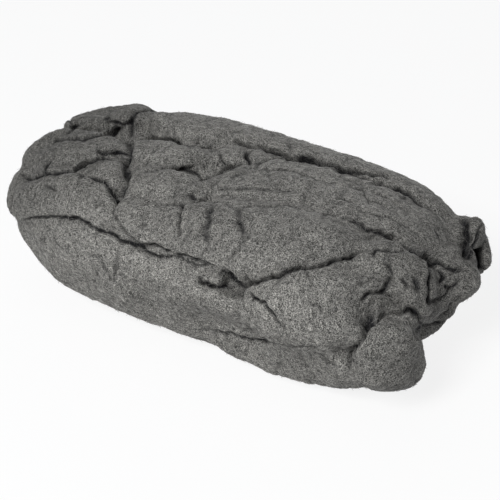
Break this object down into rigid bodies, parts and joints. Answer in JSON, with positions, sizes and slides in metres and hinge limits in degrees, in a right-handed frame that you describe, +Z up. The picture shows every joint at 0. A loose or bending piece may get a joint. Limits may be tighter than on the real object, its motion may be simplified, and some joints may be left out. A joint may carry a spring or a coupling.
{
  "type": "steel wool pad",
  "caption": "Loaf-shaped pad of fine steel wool, one soft fibre web folded over itself, for scouring, cleaning and polishing.",
  "frame": {"origin": "middle of the bounding box's underside, on the flat patch that the pad rests on", "axes": "+X along the loaf's length towards the end with the loose tufts, +Y from the long side that is pictured to the back, +Z up"},
  "size_m": [0.261, 0.1401, 0.087],
  "materials": {
    "steel_wool": "matted fine steel fibre, dull grey, matt"
  },
  "bodies": {
    "root": {"steel_wool_pad": "steel_wool"}
  },
  "joints": []
}
